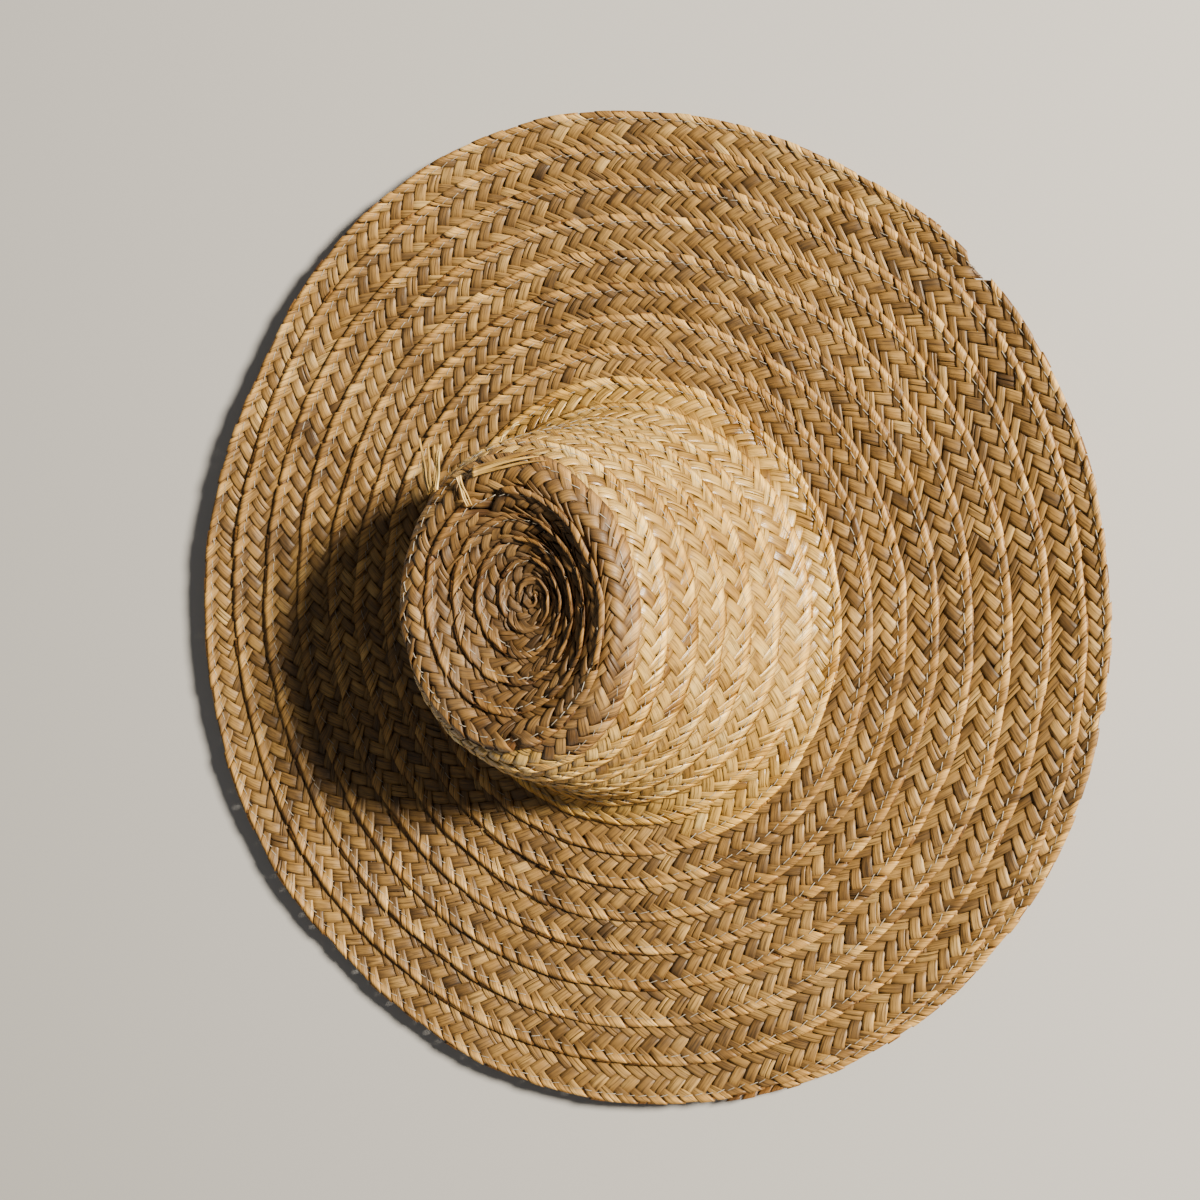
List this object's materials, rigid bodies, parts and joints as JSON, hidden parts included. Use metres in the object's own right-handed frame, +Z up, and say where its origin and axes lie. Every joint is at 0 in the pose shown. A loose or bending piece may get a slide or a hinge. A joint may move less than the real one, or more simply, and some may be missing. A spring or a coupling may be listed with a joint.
{
  "type": "straw sombrero",
  "caption": "Wide-brimmed straw sombrero: a plaited palm braid sewn in an overlapping spiral, with a sunken coiled tip on a tall tapering crown.",
  "frame": {"origin": "middle of the footprint, on the plane the brim stands on", "axes": "+Z up out of the crown's tip, +X towards the side the crown leans away from, +Y completes the frame"},
  "size_m": [0.5021, 0.5032, 0.1329],
  "materials": {
    "straw_tip": "dull, dusty plaited palm straw",
    "straw_wall": "satin plaited palm straw",
    "straw_brim": "satin plaited palm straw",
    "straw_loose": "split palm straw",
    "thread": "waxed grey thread"
  },
  "bodies": {
    "root": {"tip_coil_start": "straw_tip", "tip_turn_2": "straw_tip", "tip_turn_3": "straw_tip", "tip_turn_4": "straw_tip", "tip_turn_5": "straw_tip", "tip_turn_6": "straw_tip", "wall_turn_1": "straw_wall", "wall_turn_2": "straw_wall", "wall_turn_3": "straw_wall", "wall_turn_4": "straw_wall", "wall_turn_5": "straw_wall", "wall_turn_6": "straw_wall", "wall_turn_7": "straw_wall", "brim_turn_1": "straw_brim", "brim_turn_2": "straw_brim", "brim_turn_3": "straw_brim", "brim_turn_4": "straw_brim", "brim_turn_5": "straw_brim", "brim_turn_6": "straw_brim", "brim_turn_7": "straw_brim", "brim_turn_8": "straw_brim", "seam_thread_tip": "thread", "seam_thread_wall": "thread", "seam_thread_brim": "thread", "loose_straw_long": "straw_loose", "loose_straw_upright": "straw_loose", "loose_straw_split": "straw_loose", "loose_straw_short": "straw_loose", "loose_scrap": "straw_loose"}
  },
  "joints": []
}
